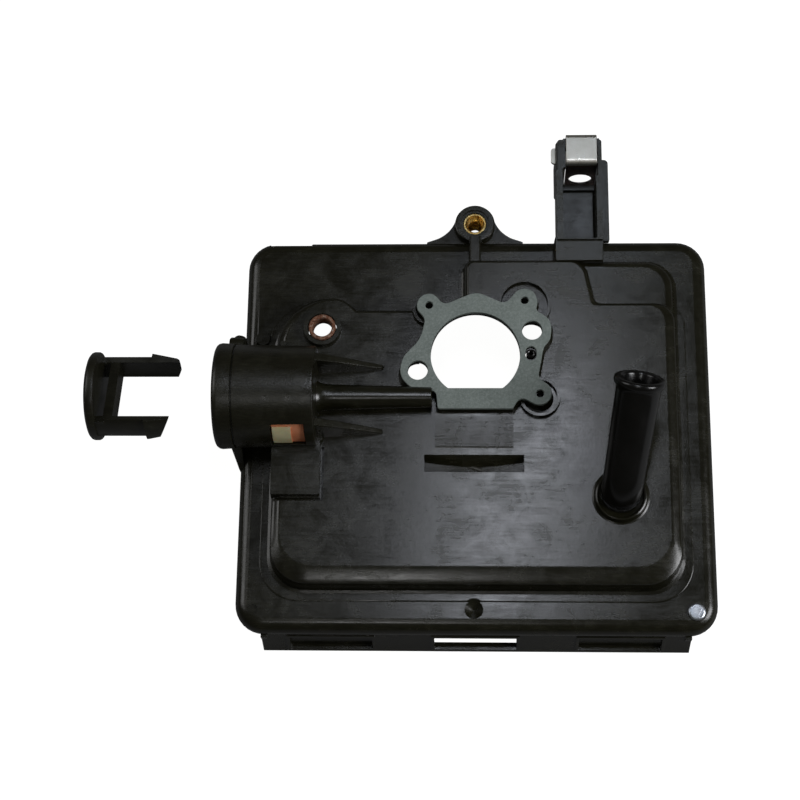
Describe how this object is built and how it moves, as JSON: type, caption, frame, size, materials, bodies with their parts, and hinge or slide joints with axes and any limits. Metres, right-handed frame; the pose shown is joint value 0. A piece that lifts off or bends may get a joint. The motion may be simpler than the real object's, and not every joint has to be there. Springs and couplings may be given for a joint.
{
  "type": "air filter housing",
  "caption": "Moulded air filter base for a small engine, with a gasketed throat, primer barrel and button, breather tube, mounting ear and cover arm.",
  "frame": {"origin": "centre of the bottom of the bounding box, on the plane that the filter rim stands on", "axes": "+X to the right along the primer barrel's axis, +Y towards the cover arm, +Z out of the engine side"},
  "size_m": [0.1914, 0.1656, 0.0557],
  "materials": {
    "nylon": "moulded glass-filled nylon, semi-gloss with flow marks",
    "gasket_fibre": "grey-green fibre sheet",
    "tube_rubber": "smooth glossy moulded rubber",
    "bulb_rubber": "translucent tan rubber",
    "retainer_plastic": "moulded plastic ring",
    "brass": "turned brass",
    "rusty_steel": "plain steel with light rust",
    "zinc_steel": "zinc-plated spring steel"
  },
  "bodies": {
    "housing": {"base_plate": "nylon", "filter_fence": "nylon", "hinge_rail": "nylon", "mounting_ear": "nylon", "ear_insert": "brass", "boss_bushing": "rusty_steel", "primer_barrel": "nylon", "barrel_saddle": "nylon", "primer_duct": "nylon", "gusset_upper": "nylon", "gusset_lower": "nylon", "carburettor_gasket": "gasket_fibre", "primer_port_seal": "tube_rubber", "breather_socket": "nylon", "breather_tube": "tube_rubber", "cover_bracket": "nylon", "spring_clip": "zinc_steel", "clip_nut": "zinc_steel", "corner_pin": "zinc_steel", "primer_bulb": "bulb_rubber", "bulb_retainer": "retainer_plastic"},
    "button": {"primer_button": "nylon"}
  },
  "joints": [
    {"name": "button_slide", "type": "slide", "parent": "housing", "child": "button", "axis": [1, 0, 0], "range_m": [0, 0.041], "deforming": ["primer_bulb"]}
  ]
}
